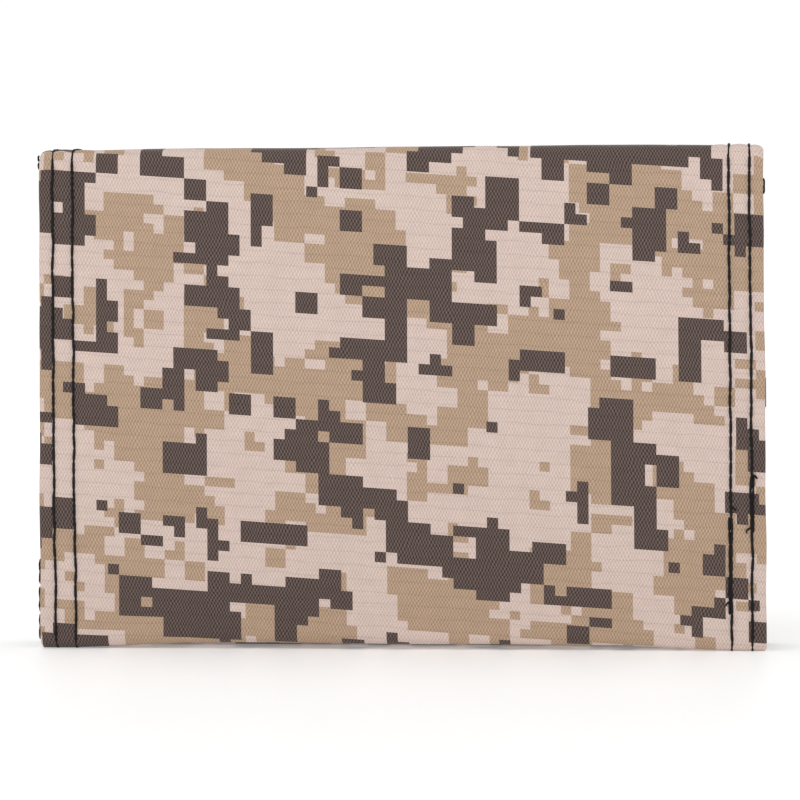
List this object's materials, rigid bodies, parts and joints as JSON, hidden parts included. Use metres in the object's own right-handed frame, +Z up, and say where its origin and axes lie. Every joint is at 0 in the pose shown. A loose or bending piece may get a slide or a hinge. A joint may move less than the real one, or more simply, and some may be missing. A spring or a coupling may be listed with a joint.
{
  "type": "trifold wallet",
  "caption": "Soft cloth trifold wallet, closed and standing on its bottom fold, with card slots, note compartment, hook-and-loop closure and a zipped coin pocket.",
  "frame": {"origin": "centre of the footprint of the bounding box, on the plane the wallet stands on; the zip pull at the back counts in the box", "axes": "+X along the folds, to the right when facing the centre panel's outer face; +Y from that face towards the cover; +Z up, from the bottom fold to the top fold"},
  "size_m": [0.125, 0.0182, 0.086],
  "materials": {
    "camo_cloth": "ripstop weave, printed",
    "lining_cloth": "plain weave",
    "binding_tape": "ribbed tape",
    "stiffener": "matte sheet",
    "hook_tape": "hooks",
    "loop_tape": "napped loops",
    "clear_vinyl": "clear film",
    "zip_tape": "woven tape",
    "zip_coil": "moulded coil",
    "slider_metal": "black lacquer, worn",
    "thread": "twisted thread",
    "label_cloth": "plain woven"
  },
  "bodies": {
    "centre": {"shell_centre": "camo_cloth", "board_centre": "stiffener", "lining_centre": "lining_cloth", "slot_back": "lining_cloth", "slot_middle": "lining_cloth", "slot_front": "lining_cloth", "slot_back_binding": "binding_tape", "slot_middle_binding": "binding_tape", "slot_front_binding": "binding_tape", "stitches_centre": "thread"},
    "top_spine": {"shell_top_spine": "camo_cloth", "shell_top_creases": "camo_cloth", "lining_top_fold": "lining_cloth"},
    "cover": {"shell_cover": "camo_cloth", "board_cover": "stiffener", "lining_cover": "lining_cloth", "loop_strip": "loop_tape", "window_frame": "binding_tape", "window_film": "clear_vinyl", "coin_pocket_bag": "lining_cloth", "zip_tape_upper": "zip_tape", "zip_tape_lower": "zip_tape", "zip_coil_upper": "zip_coil", "zip_coil_lower": "zip_coil", "zip_stops": "slider_metal", "cover_edge_binding": "binding_tape", "label_patch": "label_cloth", "stitches_cover": "thread"},
    "bottom_spine": {"shell_bottom_spine": "camo_cloth", "shell_bottom_creases": "camo_cloth", "lining_bottom_fold": "lining_cloth"},
    "leaf": {"shell_leaf": "camo_cloth", "board_leaf": "stiffener", "lining_leaf": "lining_cloth", "hook_strip": "hook_tape", "leaf_pocket": "lining_cloth", "leaf_pocket_binding": "binding_tape", "leaf_edge_binding": "binding_tape", "stitches_leaf": "thread"},
    "zip_slider": {"slider_body": "slider_metal"},
    "zip_pull": {"pull_tab": "slider_metal"}
  },
  "joints": [
    {"name": "cover_fold", "type": "hinge", "parent": "centre", "child": "top_spine", "pos_m": [0, -0.0087, 0.08557], "axis": [1, 0, 0], "range_deg": [0, 90], "deforming": ["shell_top_creases", "lining_top_fold"]},
    {"name": "cover_fold_second", "type": "hinge", "parent": "top_spine", "child": "cover", "pos_m": [0, 0.00545, 0.08557], "axis": [1, 0, 0], "range_deg": [0, 90]},
    {"name": "leaf_fold", "type": "hinge", "parent": "centre", "child": "bottom_spine", "pos_m": [0, -0.0087, 0.00043], "axis": [-1, 0, 0], "range_deg": [0, 90], "deforming": ["shell_bottom_creases", "lining_bottom_fold"]},
    {"name": "leaf_fold_second", "type": "hinge", "parent": "bottom_spine", "child": "leaf", "pos_m": [0, -0.00055, 0.00043], "axis": [-1, 0, 0], "range_deg": [0, 90]},
    {"name": "zip_slide", "type": "slide", "parent": "cover", "child": "zip_slider", "axis": [1, 0, 0], "range_m": [0, 0.083]},
    {"name": "zip_pull_swing", "type": "hinge", "parent": "zip_slider", "child": "zip_pull", "pos_m": [-0.0415, 0.00817, 0.062], "axis": [0, 0, 1], "range_deg": [0, 175]}
  ],
  "couplings": [
    {"joint": "cover_fold_second", "follows": "cover_fold", "ratio": 1},
    {"joint": "leaf_fold", "follows": "cover_fold", "ratio": 1},
    {"joint": "leaf_fold_second", "follows": "cover_fold", "ratio": 1}
  ]
}
